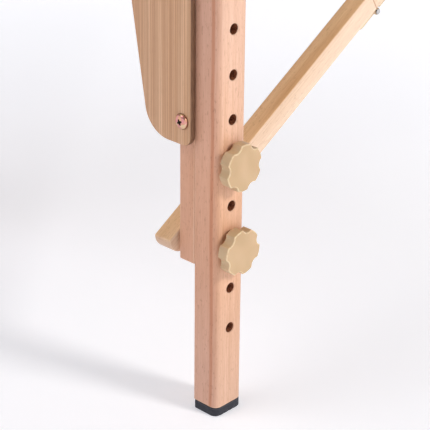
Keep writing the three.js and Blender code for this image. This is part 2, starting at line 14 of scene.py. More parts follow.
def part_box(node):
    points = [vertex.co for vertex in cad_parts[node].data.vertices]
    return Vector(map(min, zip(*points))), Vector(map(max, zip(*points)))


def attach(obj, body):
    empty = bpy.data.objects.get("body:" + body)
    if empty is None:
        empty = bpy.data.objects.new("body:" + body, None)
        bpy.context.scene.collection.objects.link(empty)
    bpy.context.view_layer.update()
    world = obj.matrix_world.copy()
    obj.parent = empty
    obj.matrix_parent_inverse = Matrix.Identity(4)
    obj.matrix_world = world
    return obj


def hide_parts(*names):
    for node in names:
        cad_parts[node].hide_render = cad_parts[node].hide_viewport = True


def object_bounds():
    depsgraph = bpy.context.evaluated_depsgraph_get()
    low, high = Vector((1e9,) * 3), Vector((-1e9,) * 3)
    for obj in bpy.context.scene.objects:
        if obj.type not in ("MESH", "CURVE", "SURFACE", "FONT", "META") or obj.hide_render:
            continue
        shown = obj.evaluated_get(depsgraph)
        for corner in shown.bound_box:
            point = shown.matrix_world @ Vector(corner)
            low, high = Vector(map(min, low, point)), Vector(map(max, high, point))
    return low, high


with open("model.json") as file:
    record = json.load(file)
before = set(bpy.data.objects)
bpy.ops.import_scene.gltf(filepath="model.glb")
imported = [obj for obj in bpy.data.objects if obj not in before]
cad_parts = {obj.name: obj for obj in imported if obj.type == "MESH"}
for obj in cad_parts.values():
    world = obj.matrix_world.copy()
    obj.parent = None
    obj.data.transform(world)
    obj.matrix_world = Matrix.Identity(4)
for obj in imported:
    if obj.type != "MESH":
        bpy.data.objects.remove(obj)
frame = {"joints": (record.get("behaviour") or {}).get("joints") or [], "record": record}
cad_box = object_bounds()

MM = 0.001
RECORD = frame["record"]
BODY_OF = {n: body for body, nodes in RECORD["behaviour"]["bodies"].items() for n in nodes}
JOINTS = {joint["name"]: joint for joint in frame["joints"]}
SIDES = (("front", -1), ("rear", 1))
X, Y, Z = Vector((1, 0, 0)), Vector((0, 1, 0)), Vector((0, 0, 1))

# ---- sizes in millimetres ---------------------------------------------------------------------

# CLEAR is the play around pins and screws, CENTRE_R the flat left at the middle of a turned end,
# SQUARE the radii of a box with no rounded corner, and SHARP an angle in degrees.
CLEAR = 0.3
CENTRE_R = 0.05
SQUARE = (0, 0, 0, 0)
SHARP = 32

ARRIS_R = 7
EDGE_R = 1.1
RAIL_EDGE_R = 1.2
STRUT_EDGE_R = 1
PANEL_EDGE_R = 0.8
FOOT_EDGE_R = 0.9
PLATE_EDGE_R = 0.4
BORE_RIM = 0.4
HOLE_R = 4.8
HOLE_RIM = 0.7
LOWEST_HOLE = 88
HOLE_PITCH = 40
HOLE_COUNT = 9
BOLT_FIT = 4.2
BOLT_R = 3.9
BOLT_CHAMFER = 0.6
THREAD_START = 1.2
THREAD_END = 26
THREAD_PITCH = 1.25
THREAD_DEPTH = 0.45
CLAMP_HEAD = (9.5, 4.3)
PIVOT_HEAD = (7, 3.6)
SINK_R = 7.8
SINK = 4
FOOT_INNER_R = 3
GROOVES = (-12, -6, 0, 6, 12)
GROOVE_W = 1.6
GROOVE_DEPTH = 1
PANEL_SCREW = {"head": 6.7, "height": 3.6, "shank": 2.1}
RAIL_SCREW = {"head": 6.5, "height": 3.2, "shank": 2.6}
LEAF_SCREW = {"head": 3.4, "height": 1.8, "shank": 1.6}
ELBOW_SCREW = {"head": 3.1, "height": 1.1, "shank": 1.6}
ELBOW_SCREW_L = 13
LEAF_HOLE_DEPTH = 14
RAIL_FACE_X = 25
RAIL_HOLE_DEPTH = 38
# Width and depth of the ring cut round each panel screw head; its dark walls are a painted contact
# shadow.
SHADOW_RING = 0.7

KNOB_R = 21.4
KNOB_LOBES = 6
KNOB_FLUTE = 3.1
KNOB_SCOOP_R = 6.5
KNOB_BACK = 4
KNOB_FACE = 15
KNOB_BACK_ROUND = 1.4
KNOB_FACE_ROUND = 1.3
KNOB_DISH = ((2.2, 0.02), (7, -0.12), (12, -0.25))
HUB_R = 10.5
HUB_BACK = 1.8
KNOB_BORE = 12
KNOB_TURNS = {"upper": 0.61, "lower": 0.24}
NUT_R = 7.5

PANEL_EDGE = 27
PANEL_LOW = 261
PANEL_CORNER_R = 9
PANEL_LOBE_R = 28.5
PANEL_LOBE_IN = 54
PANEL_SLANT = math.radians(9.7)
PANEL_SHOULDER = 465
PANEL_CROWN = 540
CROWN_PULL = 110
SHOULDER_PULL = (34, 52)

STRUT_H = 21.5
STRUT_END = 24.6
STRUT_END_R = 15
STRUT_END_RISE = 2.8

BARREL_R = 3.5
HINGE_EASE = 0.3
PIN_R = 1.5
PIN_HEAD_R = 2.8
PIN_HEAD_T = 0.9
LEAF_T = 2
LEAF_SINK = 1
HINGE_L = 64
ELBOW_L = 18
HINGE_REACH = {"fixed": 20, "moving": 30, "elbow": 28}
HINGE_HOLES = {"fixed": 13, "moving": 20}
HINGE_HOLE_Y = 21
ELBOW_HOLES = (11, 22)

BRACKET_T = 2.2
BRACKET_L = 56
BRACKET_DROP = 27
CHEEK_TOP = 37
CHEEK_TIP_R = 8
BRACKET_BORE_R = 2.4
BRACKET_BORE_IN = 7
RIVET_R = 2.9
RIVET_HEAD_R = 4.9
RIVET_HEAD_T = 2
TABLE_BORE_R = 2.8
TABLE_BORE_SINK = 2.2
TABLE_BORE_X = -10
TABLE_BORES = (-235, -90, 90, 235)


def box(node):
    """Lowest and highest corner of a CAD node, in millimetres."""
    low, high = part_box(node)
    return low / MM, high / MM


def joint_at(name):
    return Vector(JOINTS[name]["pos_m"]) / MM


FLOOR = cad_box[0][2] / MM
OUTER = -box("front_extension_leg")[0].y


# ---- materials ----------------------------------------------------------------------------------

class Paint:
    """A node material under construction."""

    def __init__(self, name, **constants):
        self.material = bpy.data.materials.new(name)
        self.material.use_nodes = True
        self.nodes = self.material.node_tree.nodes
        self.links = self.material.node_tree.links
        self.shader = self.nodes["Principled BSDF"]
        for socket, value in constants.items():
            self.shader.inputs[socket.replace("_", " ")].default_value = value
        self.place = self.nodes.new("ShaderNodeTexCoord").outputs["Object"]

    def node(self, kind, **inputs):
        made = self.nodes.new(kind)
        for name, value in inputs.items():
            self.feed(made.inputs[name.replace("_", " ")], value)
        return made

    def feed(self, socket, value):
        if isinstance(value, bpy.types.NodeSocket):
            self.links.new(value, socket)
        else:
            socket.default_value = value

    def noise(self, stretch, shift=(0, 0, 0), detail=2.0, roughness=0.5, distortion=0.0):
        """Noise with stretch cells per metre along each local axis."""
        placed = self.node("ShaderNodeMapping", Vector=self.place, Scale=stretch, Location=shift)
        made = self.node("ShaderNodeTexNoise", Vector=placed.outputs["Vector"], Scale=1.0,
                         Detail=detail, Roughness=roughness, Distortion=distortion)
        return made.outputs["Fac"]

    def ramp(self, fac, stops):
        made = self.node("ShaderNodeValToRGB", Fac=fac)
        elements = made.color_ramp.elements
        while len(elements) < len(stops):
            elements.new(0.5)
        for element, (position, colour) in zip(elements, stops):
            element.position = position
            element.color = (*colour, 1)
        return made.outputs["Color"]

    def window(self, fac, low, high):
        """0 below low, 1 above high, straight between."""
        made = self.node("ShaderNodeMapRange", Value=fac)
        self.feed(made.inputs["From Min"], low)
        self.feed(made.inputs["From Max"], high)
        return made.outputs["Result"]

    def math(self, operation, a, b=0.0, c=0.0):
        made = self.nodes.new("ShaderNodeMath")
        made.operation = operation
        for socket, value in zip(made.inputs, (a, b, c)):
            self.feed(socket, value)
        return made.outputs[0]

    def mix(self, fac, a, b, blend="MIX"):
        made = self.nodes.new("ShaderNodeMix")
        made.data_type = "RGBA"
        made.blend_type = blend
        sockets = [s for s in made.inputs if s.enabled]
        for socket, value in zip(sockets, (fac, a, b)):
            self.feed(socket, value if not isinstance(value, tuple) else (*value, 1))
        return next(s for s in made.outputs if s.enabled)

    def tint(self, fac, colour, by):
        return self.mix(fac, colour, by, "MULTIPLY")

    def attribute(self, name):
        made = self.nodes.new("ShaderNodeAttribute")
        made.attribute_name = name
        return made.outputs["Fac"]

    def facing(self, axis):
        """1 on faces square to a local axis, 0 on the others."""
        normal = self.nodes.new("ShaderNodeTexCoord").outputs["Normal"]
        parts = self.node("ShaderNodeSeparateXYZ", Vector=normal)
        return self.window(self.math("ABSOLUTE", parts.outputs[axis]), 0.35, 0.9)

    def colour(self, value):
        self.feed(self.shader.inputs["Base Color"], value)

    def roughness(self, value):
        self.feed(self.shader.inputs["Roughness"], value)

    def bump(self, height, strength, distance):
        made = self.node("ShaderNodeBump", Height=height, Strength=strength, Distance=distance)
        self.links.new(made.outputs["Normal"], self.shader.inputs["Normal"])


FLECK = (0.30, 0.14, 0.07)
END_GRAIN = (0.80, 0.72, 0.66)
# Warm tint of painted bounce light from the knobs.
KNOB_BOUNCE = (1.02, 0.945, 0.84)
GROWTH_STREAK = (0.86, 0.67, 0.54)
# Lighter tone on rounded wood edges: worn lacquer and a painted highlight.
WORN_AND_HIGHLIT_WOOD = (0.90, 0.68, 0.50)


def wood_grain(paint, shift, pale, deep):
    """Growth lines across local X, with fibres and short ray flecks along local Z.

    The colour comes with the fibre, cloud and fleck patterns that it is made of.
    """
    growth = paint.noise((420, 70, 3.2), shift, detail=3.0, roughness=0.6, distortion=0.25)
    fibre = paint.noise((2300, 2300, 55), shift, detail=2.0, roughness=0.6)
    cloud = paint.noise((28, 28, 5), shift, detail=2.0)
    fleck = paint.noise((1500, 800, 210), shift, detail=1.0)
    colour = paint.ramp(paint.window(growth, 0.28, 0.74),
                        [(0, pale), (0.55, mixed(pale, deep, 0.35)), (1, deep)])
    clouds = paint.ramp(cloud, [(0.3, (0.93, 0.90, 0.86)), (0.7, (1.04, 1.04, 1.05))])
    colour = paint.tint(1.0, colour, clouds)
    fibres = paint.ramp(paint.window(fibre, 0.3, 0.7),
                        [(0, (1.05, 1.06, 1.07)), (1, (0.90, 0.855, 0.81))])
    colour = paint.tint(1.0, colour, fibres)
    flecks = paint.window(fleck, 0.62, 0.72)
    colour = paint.mix(paint.math("MULTIPLY", flecks, 0.6), colour, mixed(deep, FLECK, 0.45))
    return colour, fibre, cloud, flecks


def beech(name, seed, pale, deep, flat_sawn_and_light, streak=None, bounce_at=None):
    """Lacquered beech, with grain along local Z.

    Faces square to local X take a tint that is partly their flat-sawn tone and partly painted light and
    shade on that side, and end grain is darker. A streak is a pair for streak_mask, and the height
    argument is where warm bounce light from the knobs is painted.
    """
    paint = Paint(name, IOR=1.45, Coat_Weight=0.12, Coat_Roughness=0.3)
    shift = (seed * 3.7, seed * 1.9, seed * 5.3)
    colour, fibre, cloud, flecks = wood_grain(paint, shift, pale, deep)
    # Painted light and shade: a tint on the faces square to local X, partly their own flat-sawn tone.
    colour = paint.tint(paint.facing("X"), colour, flat_sawn_and_light)
    colour = paint.tint(paint.facing("Z"), colour, END_GRAIN)
    # Painted bounce light: warmer wood around the knobs' height.
    if bounce_at is not None:
        colour = paint.tint(warm_mask(paint, bounce_at), colour, KNOB_BOUNCE)
    if streak:
        colour = paint.tint(streak_mask(paint, shift, *streak), colour, GROWTH_STREAK)
    # Lighter rounded edges: worn lacquer and a painted highlight.
    worn_and_highlit = paint.math("MULTIPLY", paint.attribute("edge"), paint.window(cloud, 0.35, 0.6))
    colour = paint.mix(paint.math("MULTIPLY", worn_and_highlit, 0.35), colour, WORN_AND_HIGHLIT_WOOD)
    paint.colour(colour)
    gloss = paint.math("MULTIPLY_ADD", fibre, 0.22, 0.34)
    paint.roughness(paint.math("MULTIPLY_ADD", worn_and_highlit, 0.12, gloss))
    height = paint.math("MULTIPLY_ADD", flecks, -0.6, fibre)
    paint.bump(height, 0.22, 0.00025)
    return paint.material


def warm_mask(paint, height):
    """Painted warm bounce light from the knobs, around a height in metres along local Z."""
    along = paint.node("ShaderNodeSeparateXYZ", Vector=paint.place).outputs["Z"]
    wander = paint.noise((30, 30, 9), (3, 1, 4), detail=2.0)
    reach = 0.1
    wandered = paint.math("MULTIPLY_ADD", wander, reach, along)
    distance = paint.math("ABSOLUTE", paint.math("SUBTRACT", wandered, height + reach / 2))
    return paint.math("SUBTRACT", 1.0, paint.window(distance, 0.03, 0.16))


def streak_mask(paint, shift, centre, half_width):
    """A darker growth streak where local x - y is near centre, in metres."""
    parts = paint.node("ShaderNodeSeparateXYZ", Vector=paint.place)
    across = paint.math("SUBTRACT", parts.outputs["X"], parts.outputs["Y"])
    wander = paint.noise((6, 6, 14), shift, detail=2.0)
    reach = 0.004
    wandered = paint.math("MULTIPLY_ADD", wander, reach, across)
    distance = paint.math("ABSOLUTE", paint.math("SUBTRACT", wandered, centre + reach / 2))
    return paint.math("SUBTRACT", 1.0, paint.window(distance, half_width * 0.5, half_width))


def mixed(a, b, share):
    return tuple(p + (q - p) * share for p, q in zip(a, b))


def drilled_wood(name):
    """Walls of drilled holes, browned by the drill and darkened further as painted shade inside the
    holes.
    """
    paint = Paint(name, IOR=1.45)
    turned_marks = paint.noise((900, 900, 900), detail=3.0)
    paint.colour(paint.ramp(turned_marks, [(0.35, (0.12, 0.032, 0.012)), (0.6, (0.36, 0.12, 0.05))]))
    paint.roughness(paint.math("MULTIPLY_ADD", turned_marks, 0.2, 0.65))
    paint.bump(turned_marks, 0.4, 0.0004)
    return paint.material


def striped_veneer(name):
    """Rift-cut veneer: straight tan and pale stripes along local Z, with open fibres, and dark edges
    that are partly the plywood's core and partly painted shade beside the leg.
    """
    paint = Paint(name, IOR=1.45, Coat_Weight=0.12, Coat_Roughness=0.32)
    broad = paint.noise((40, 120, 0.9), (2.3, 8.1, 0), detail=1.0, distortion=0.15)
    narrow = paint.noise((90, 1150, 2.4), (5.1, 1.7, 3), detail=2.0, distortion=0.1)
    pores = paint.noise((1500, 2600, 90), detail=2.0, roughness=0.6)
    tan, pale, dark = (0.555, 0.30, 0.155), (0.62, 0.37, 0.215), (0.32, 0.155, 0.07)
    colour = paint.ramp(paint.window(broad, 0.3, 0.7),
                        [(0, tan), (0.45, mixed(tan, pale, 0.25)), (0.75, pale), (1, tan)])
    lines = paint.ramp(paint.window(narrow, 0.34, 0.66),
                       [(0, (1.22, 1.30, 1.38)), (0.34, (1, 1, 1)), (1, (0.80, 0.72, 0.64))])
    colour = paint.tint(1.0, colour, lines)
    open_pores = paint.math("MULTIPLY", paint.window(pores, 0.56, 0.72), 0.4)
    colour = paint.mix(open_pores, colour, dark)
    # Dark edges: the plywood's core and painted shade.
    core_and_shade = paint.ramp(pores, [(0.35, (0.27, 0.15, 0.085)), (0.7, (0.15, 0.075, 0.04))])
    paint.colour(paint.mix(paint.facing("X"), core_and_shade, colour))
    paint.roughness(paint.math("MULTIPLY_ADD", pores, 0.2, 0.36))
    paint.bump(paint.math("MULTIPLY", pores, -1.0), 0.25, 0.00025)
    return paint.material


def moulded_plastic(name, seed):
    """Beige moulded plastic with faint flow marks, and edges lightened for scuffs and as a painted
    highlight.
    """
    paint = Paint(name, IOR=1.48, Subsurface_Weight=0.08, Subsurface_Scale=0.004)
    flow = paint.noise((38, 38, 60), (seed, 0, seed), detail=1.0, distortion=0.3)
    skin = paint.noise((1400, 1400, 1400), detail=2.0)
    colour = paint.ramp(flow, [(0.3, (0.535, 0.355, 0.19)), (0.7, (0.62, 0.425, 0.245))])
    scuffs = paint.noise((260, 260, 900), (0, seed, 0), detail=3.0)
    worn_and_highlit = paint.math("MULTIPLY", paint.attribute("edge"), paint.window(scuffs, 0.2, 0.55))
    colour = paint.mix(paint.math("MULTIPLY", worn_and_highlit, 0.65), colour, (0.92, 0.74, 0.47))
    paint.colour(colour)
    paint.roughness(paint.math("MULTIPLY_ADD", skin, 0.16, 0.36))
    paint.bump(skin, 0.1, 0.00025)
    return paint.material


def rubber(name):
    """Dark blue-grey rubber with dust in its grain."""
    paint = Paint(name, IOR=1.5)
    grain = paint.noise((1200, 1200, 1200), detail=3.0)
    dust = paint.noise((120, 120, 60), (4, 2, 7), detail=4.0, roughness=0.65)
    colour = paint.ramp(grain, [(0.3, (0.012, 0.014, 0.022)), (0.75, (0.022, 0.024, 0.036))])
    dusty = paint.math("MULTIPLY", paint.window(dust, 0.5, 0.75), 0.35)
    colour = paint.mix(dusty, colour, (0.11, 0.11, 0.13))
    # Lighter rounded edges: wear and a painted highlight.
    worn_and_highlit = paint.math("MULTIPLY", paint.attribute("edge"), 0.25)
    paint.colour(paint.mix(worn_and_highlit, colour, (0.12, 0.12, 0.14)))
    paint.roughness(paint.math("MULTIPLY_ADD", dust, 0.25, 0.55))
    paint.bump(grain, 0.35, 0.0003)
    return paint.material


def yellow_zinc(name, seed, iridescence):
    """Yellow-passivated zinc plate: gold with as much of pink and pale green as iridescence says."""
    paint = Paint(name, Metallic=1.0)
    patches = paint.noise((150, 150, 150), (seed, seed, 0), detail=2.0, distortion=0.8)
    stain = paint.noise((60, 60, 60), (0, seed, 5), detail=4.0)
    scratch = paint.noise((300, 2500, 2500), (seed, 0, 0), detail=2.0)
    colour = paint.ramp(patches, [(0.3, (0.80, 0.54, 0.20)), (0.45, (0.66, 0.27, 0.28)),
                                  (0.6, (0.78, 0.60, 0.36)), (0.75, (0.46, 0.50, 0.24))])
    colour = paint.mix(iridescence, (0.72, 0.58, 0.34), colour)
    stained = paint.math("MULTIPLY", paint.window(stain, 0.55, 0.8), 0.5)
    colour = paint.mix(stained, colour, (0.42, 0.33, 0.22))
    bright = paint.math("MULTIPLY", paint.attribute("edge"), 0.5)
    paint.colour(paint.mix(bright, colour, (0.80, 0.78, 0.72)))
    paint.roughness(paint.math("MULTIPLY_ADD", stain, 0.35, 0.16))
    paint.bump(scratch, 0.12, 0.0001)
    return paint.material


def bare_steel(name):
    """Plain drawn steel, slightly tarnished."""
    paint = Paint(name, Metallic=1.0)
    drawn = paint.noise((2600, 2600, 120), detail=2.0)
    tarnish = paint.noise((90, 90, 40), (3, 3, 1), detail=4.0)
    colour = paint.ramp(tarnish, [(0.35, (0.56, 0.56, 0.57)), (0.75, (0.33, 0.31, 0.29))])
    paint.colour(paint.mix(paint.math("MULTIPLY", drawn, 0.2), colour, (0.75, 0.75, 0.76)))
    paint.roughness(paint.math("MULTIPLY_ADD", tarnish, 0.3, 0.2))
    paint.bump(drawn, 0.12, 0.0001)
    return paint.material


def dark_recess(name):
    """Near-black metal at the bottom of a driver recess: painted shade where the recess lies in shade.
    """
    paint = Paint(name, Metallic=1.0)
    shade_mottle = paint.noise((700, 700, 700), detail=3.0)
    paint.colour(paint.ramp(shade_mottle, [(0.3, (0.05, 0.04, 0.03)), (0.7, (0.18, 0.14, 0.10))]))
    paint.roughness(paint.math("MULTIPLY_ADD", shade_mottle, 0.3, 0.45))
    return paint.material


# The third tint, on faces square to local X, is partly the flat-sawn tone and partly painted light and
# shade on that side of each piece.
LEG_WOOD = {"pale": (0.78, 0.505, 0.37), "deep": (0.65, 0.38, 0.245), "flat_sawn_and_light": (0.86, 0.77, 0.76)}
STRUT_WOOD = {"pale": (0.90, 0.70, 0.535), "deep": (0.74, 0.505, 0.34), "flat_sawn_and_light": (1.07, 0.92, 0.68)}
RAIL_WOOD = {**STRUT_WOOD, "flat_sawn_and_light": (0.98, 0.88, 0.77)}
LEG_STREAKS = {"front": (-0.0105, 0.0024), "rear": (0.031, 0.002)}
# Height between the knobs, around which warm bounce light is painted on the legs.
BOUNCE_AT = -0.43
SEEDS = {"extension": (1.0, 3.3), "upper": (2.0, 5.1), "rail": (7.7, 9.1), "strut": (12.4, 14.0)}
UPPER_STRUT_SEED = 0.7
# Dark walls of holes and recesses in wood: drill browning and painted shade.
DRILLED_AND_SHADED = drilled_wood("drilled_wood")
VENEER = striped_veneer("striped_veneer")
RUBBER = rubber("foot_rubber")
ZINC = yellow_zinc("yellow_zinc", 1.0, 0.3)
SCREW_ZINC = yellow_zinc("screw_zinc", 4.0, 1.0)
STEEL = bare_steel("bare_steel")
# Near-black metal in screw recesses: painted shade.
RECESS_SHADE = dark_recess("recess_painted_shade")


# ---- shapes -------------------------------------------------------------------------------------

PLANES = {
    "xy": lambda a, b, c: (a, b, c),
    "xz": lambda a, b, c: (a, c, b),
    "yz": lambda a, b, c: (c, a, b),
}


def arc(cx, cy, radius, start, end, steps):
    """Points on an arc, its angles in degrees."""
    turns = [math.radians(start + (end - start) * i / steps) for i in range(steps + 1)]
    return [(cx + radius * math.cos(t), cy + radius * math.sin(t)) for t in turns]


def bezier(p0, p1, p2, p3, steps):
    points = []
    for i in range(steps + 1):
        t = i / steps
        weights = ((1 - t) ** 3, 3 * t * (1 - t) ** 2, 3 * t * t * (1 - t), t ** 3)
        points.append(tuple(sum(w * p[k] for w, p in zip(weights, (p0, p1, p2, p3))) for k in (0, 1)))
    return points


def rounded_box(x0, x1, y0, y1, radii, steps=8):
    """Box outline whose corners, from (x0, y0) anticlockwise, are rounded by radii."""
    corners = ((x0, y0, 180), (x1, y0, 270), (x1, y1, 0), (x0, y1, 90))
    points = []
    for (x, y, start), r in zip(corners, radii):
        if r == 0:
            points.append((x, y))
            continue
        cx = x + r if x == x0 else x - r
        cy = y + r if y == y0 else y - r
        points += arc(cx, cy, r, start, start + 90, steps)
    return points


def new_shape():
    bm = bmesh.new()
    bm.faces.layers.float.new("edge")
    return bm


def prism(outline, low, high, plane="xy", taper=1.0):
    """An outline extruded from low to high, its low end scaled by taper."""
    bm = new_shape()
    to = PLANES[plane]
    bottom = [bm.verts.new(to(a * taper, b * taper, low)) for a, b in outline]
    top = [bm.verts.new(to(a, b, high)) for a, b in outline]
    bm.faces.new(bottom)
    bm.faces.new(top)
    for i, vert in enumerate(bottom):
        after = (i + 1) % len(bottom)
        bm.faces.new((vert, bottom[after], top[after], top[i]))
    bmesh.ops.recalc_face_normals(bm, faces=bm.faces[:])
    return bm


def rings(bm, loops, closed=False):
    """Skin over loops of points. Open ends are closed with a face each."""
    made = [[bm.verts.new(p) for p in loop] for loop in loops]
    pairs = list(zip(made, made[1:]))
    if closed:
        pairs.append((made[-1], made[0]))
    else:
        bm.faces.new(made[0])
        bm.faces.new(made[-1])
    for below, above in pairs:
        for i in range(len(below)):
            after = (i + 1) % len(below)
            bm.faces.new((below[i], below[after], above[after], above[i]))
    bmesh.ops.recalc_face_normals(bm, faces=bm.faces[:])
    return bm


def turned(profile, steps, closed=False):
    """A piece turned on local Z from [radius, height] points. A closed profile makes a ring."""
    loops = []
    for radius, height in profile:
        turns = [2 * math.pi * i / steps for i in range(steps)]
        loops.append([(radius * math.cos(t), radius * math.sin(t), height) for t in turns])
    return rings(new_shape(), loops, closed)


def soften(bm, width, segments=3):
    """Round every sharp edge, and mark the new faces as edges, for wear and a painted highlight."""
    bm.normal_update()
    layer = bm.faces.layers.float["edge"]
    sharp = [e for e in bm.edges if len(e.link_faces) == 2 and e.calc_face_angle() > math.radians(SHARP)]
    done = bmesh.ops.bevel(bm, geom=sharp, offset=width, offset_type="OFFSET", segments=segments,
                           profile=0.5, affect="EDGES", clamp_overlap=True)
    for face in done["faces"]:
        face[layer] = 1.0
    return bm


def moved(bm, matrix):
    bm.transform(matrix)
    return bm


def together(shapes):
    """Several shapes as one mesh."""
    whole = new_shape()
    for bm in shapes:
        mesh = bpy.data.meshes.new("part")
        bm.to_mesh(mesh)
        bm.free()
        whole.from_mesh(mesh)
        bpy.data.meshes.remove(mesh)
    return whole


def axes(origin, along, across):
    """Place of a piece whose local Z lies along one direction and local X across it."""
    z = along.normalized()
    x = across.normalized()
    rows = zip(x, z.cross(x), z)
    return Matrix.Translation(origin) @ Matrix([list(row) for row in rows]).to_4x4()


def put(piece, place):
    """Set an object down in the shared frame, at a place in millimetres."""
    location, rotation, _ = place.decompose()
    piece.matrix_world = Matrix.LocRotScale(location * MM, rotation, None)
    return piece


def make(name, bm, place, materials, cutters=(), smooth=SHARP):
    """An object from a shape in millimetres, less the cutter shapes, placed in the shared frame."""
    def as_object(label, shape):
        mesh = bpy.data.meshes.new(label)
        shape.to_mesh(mesh)
        shape.free()
        for material in materials:
            mesh.materials.append(material)
        made = bpy.data.objects.new(label, mesh)
        bpy.context.scene.collection.objects.link(made)
        return made

    piece = as_object(name, bm)
    for cutter in cutters:
        layer = cutter.faces.layers.float["edge"]
        # Walls cut by a cutter take the last material. On wood and screws that is dark: painted shade in
        # holes and recesses, with drill browning on wood.
        for face in cutter.faces:
            face.material_index = 0 if face[layer] else len(materials) - 1
        tool = as_object(name + "_tool", cutter)
        modifier = piece.modifiers.new("cut", "BOOLEAN")
        modifier.object = tool
        modifier.operation = "DIFFERENCE"
        modifier.solver = "EXACT"
        graph = bpy.context.evaluated_depsgraph_get()
        mesh = bpy.data.meshes.new_from_object(piece.evaluated_get(graph))
        piece.modifiers.clear()
        piece.data = mesh
        bpy.data.objects.remove(tool)
    piece.data.transform(Matrix.Scale(MM, 4))
    piece.data.shade_smooth()
    piece.data.set_sharp_from_angle(angle=math.radians(smooth))
    return put(piece, place)


def stand_for(piece, node):
    """The piece rides with its CAD node and is shown instead of it."""
    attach(piece, BODY_OF[node])
    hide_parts(node)
    return piece


def copy_of(piece, name, place):
    twin = bpy.data.objects.new(name, piece.data)
    bpy.context.scene.collection.objects.link(twin)
    return put(twin, place)


def drill(radius, low, high, rim=0.0):
    """Cutter for a round hole along local Z from low to high, widened by rim at both faces."""
    over = 0.5
    profile = [(radius + rim + over, low - over), (radius, low + rim), (radius, high - rim),
               (radius + rim + over, high + over)]
    if rim == 0:
        profile = [(radius, low - over), (radius, high + over)]
    return rims_marked(turned(profile, 32))


def rims_marked(bm):
    """Mark a cutter's widened mouths, so that the rims they cut have the look of the face."""
    layer = bm.faces.layers.float["edge"]
    for face in bm.faces:
        if abs(face.normal.z) > 0.3:
            face[layer] = 1.0
    return bm


def hole(at, inward, radius, depth, rim=0.0):
    """Cutter for a hole that starts at a point on a face, its mouth widened by rim."""
    over = 0.5
    profile = [(radius, -depth), (radius, -rim), (radius + rim + over, over)]
    out = -inward
    return moved(rims_marked(turned(profile, 28)), axes(at, out, out.orthogonal()))


# ---- legs ---------------------------------------------------------------------------------------

def extension_leg(name, side, seed):
    node = f"{name}_extension_leg"
    low, high = box(node)
    middle = (low + high) / 2
    half = (high - low) / 2
    outline = rounded_box(-half.x, half.x, -half.y, half.y, (ARRIS_R, ARRIS_R, 0, 0), steps=10)
    bar = soften(prism(outline, low.z, high.z), EDGE_R)
    cuts = []
    for n in range(HOLE_COUNT):
        at = Vector((0, 0, FLOOR + LOWEST_HOLE + n * HOLE_PITCH))
        cuts.append(moved(drill(HOLE_R, -half.y, half.y, HOLE_RIM), axes(at, Y, X)))
    place = Matrix.Translation((middle.x, middle.y, 0))
    if side > 0:
        place = place @ Matrix.Rotation(math.pi, 4, "Z")
    wood = beech(f"{name}_leg_beech", seed, **LEG_WOOD, streak=LEG_STREAKS[name], bounce_at=BOUNCE_AT)
    stand_for(make(node + "_look", bar, place, [wood, DRILLED_AND_SHADED], [together(cuts)]), node)


def upper_leg(name, seed):
    node = f"{name}_upper_leg"
    low, high = box(node)
    middle = (low + high) / 2
    half = (high - low) / 2
    section = rounded_box(-half.x, half.x, -half.y, half.y, SQUARE)
    bar = soften(prism(section, low.z, high.z), EDGE_R)
    cuts = []
    for level in ("upper", "lower"):
        at = Vector((0, 0, joint_at(f"{name}_{level}_knob_turn").z))
        cuts.append(moved(drill(BOLT_FIT, -half.y, half.y, BORE_RIM), axes(at, Y, X)))
    for i in (1, 2):
        a, b = box(f"{name}_rail_screw_{i}")
        at = Vector((0, 0, (a.z + b.z) / 2))
        cuts.append(moved(drill(RAIL_SCREW["shank"] + CLEAR, -half.y, half.y), axes(at, Y, X)))
        a, b = box(f"{name}_panel_screw_{i}")
        at = Vector((-half.x, (a.y + b.y) / 2 - middle.y, (a.z + b.z) / 2))
        cuts.append(hole(at, X, PANEL_SCREW["shank"] + CLEAR, b.x - low.x + 1))
    wood = beech(f"{name}_upper_leg_beech", seed, **LEG_WOOD, bounce_at=BOUNCE_AT)
    place = Matrix.Translation((middle.x, middle.y, 0))
    stand_for(make(node + "_look", bar, place, [wood, DRILLED_AND_SHADED], [together(cuts)]), node)


def rubber_foot(name, side):
    node = f"{name}_rubber_foot"
    low, high = box(node)
    middle = (low + high) / 2
    half = (high - low) / 2
    radii = (ARRIS_R, ARRIS_R, FOOT_INNER_R, FOOT_INNER_R)
    outline = rounded_box(-half.x, half.x, -half.y, half.y, radii, steps=8)
    slab = soften(prism(outline, 0, high.z - low.z), FOOT_EDGE_R)
    grooves = []
    for x in GROOVES:
        groove = rounded_box(x - GROOVE_W / 2, x + GROOVE_W / 2, -half.y - 1, half.y + 1, SQUARE)
        grooves.append(prism(groove, -1, GROOVE_DEPTH))
    place = Matrix.Translation((middle.x, middle.y, low.z))
    if side > 0:
        place = place @ Matrix.Rotation(math.pi, 4, "Z")
    stand_for(make(node + "_look", slab, place, [RUBBER], [together(grooves)]), node)


for number, (name, side) in enumerate(SIDES):
    extension_leg(name, side, SEEDS["extension"][number])
    upper_leg(name, SEEDS["upper"][number])
    rubber_foot(name, side)

# ---- rails --------------------------------------------------------------------------------------

def leaf_holes(which, middle):
    """Pilot holes for the leaf screws in a rail's +X face."""
    cuts = []
    for name, _ in SIDES:
        for i in (1, 2):
            low, high = box(f"{name}_{which}_leaf_screw_{i}")
            centre = (low + high) / 2
            at = Vector((RAIL_FACE_X - middle.x, centre.y, centre.z - middle.z))
            cuts.append(hole(at, -X, LEAF_SCREW["shank"] + CLEAR, LEAF_HOLE_DEPTH))
    return cuts


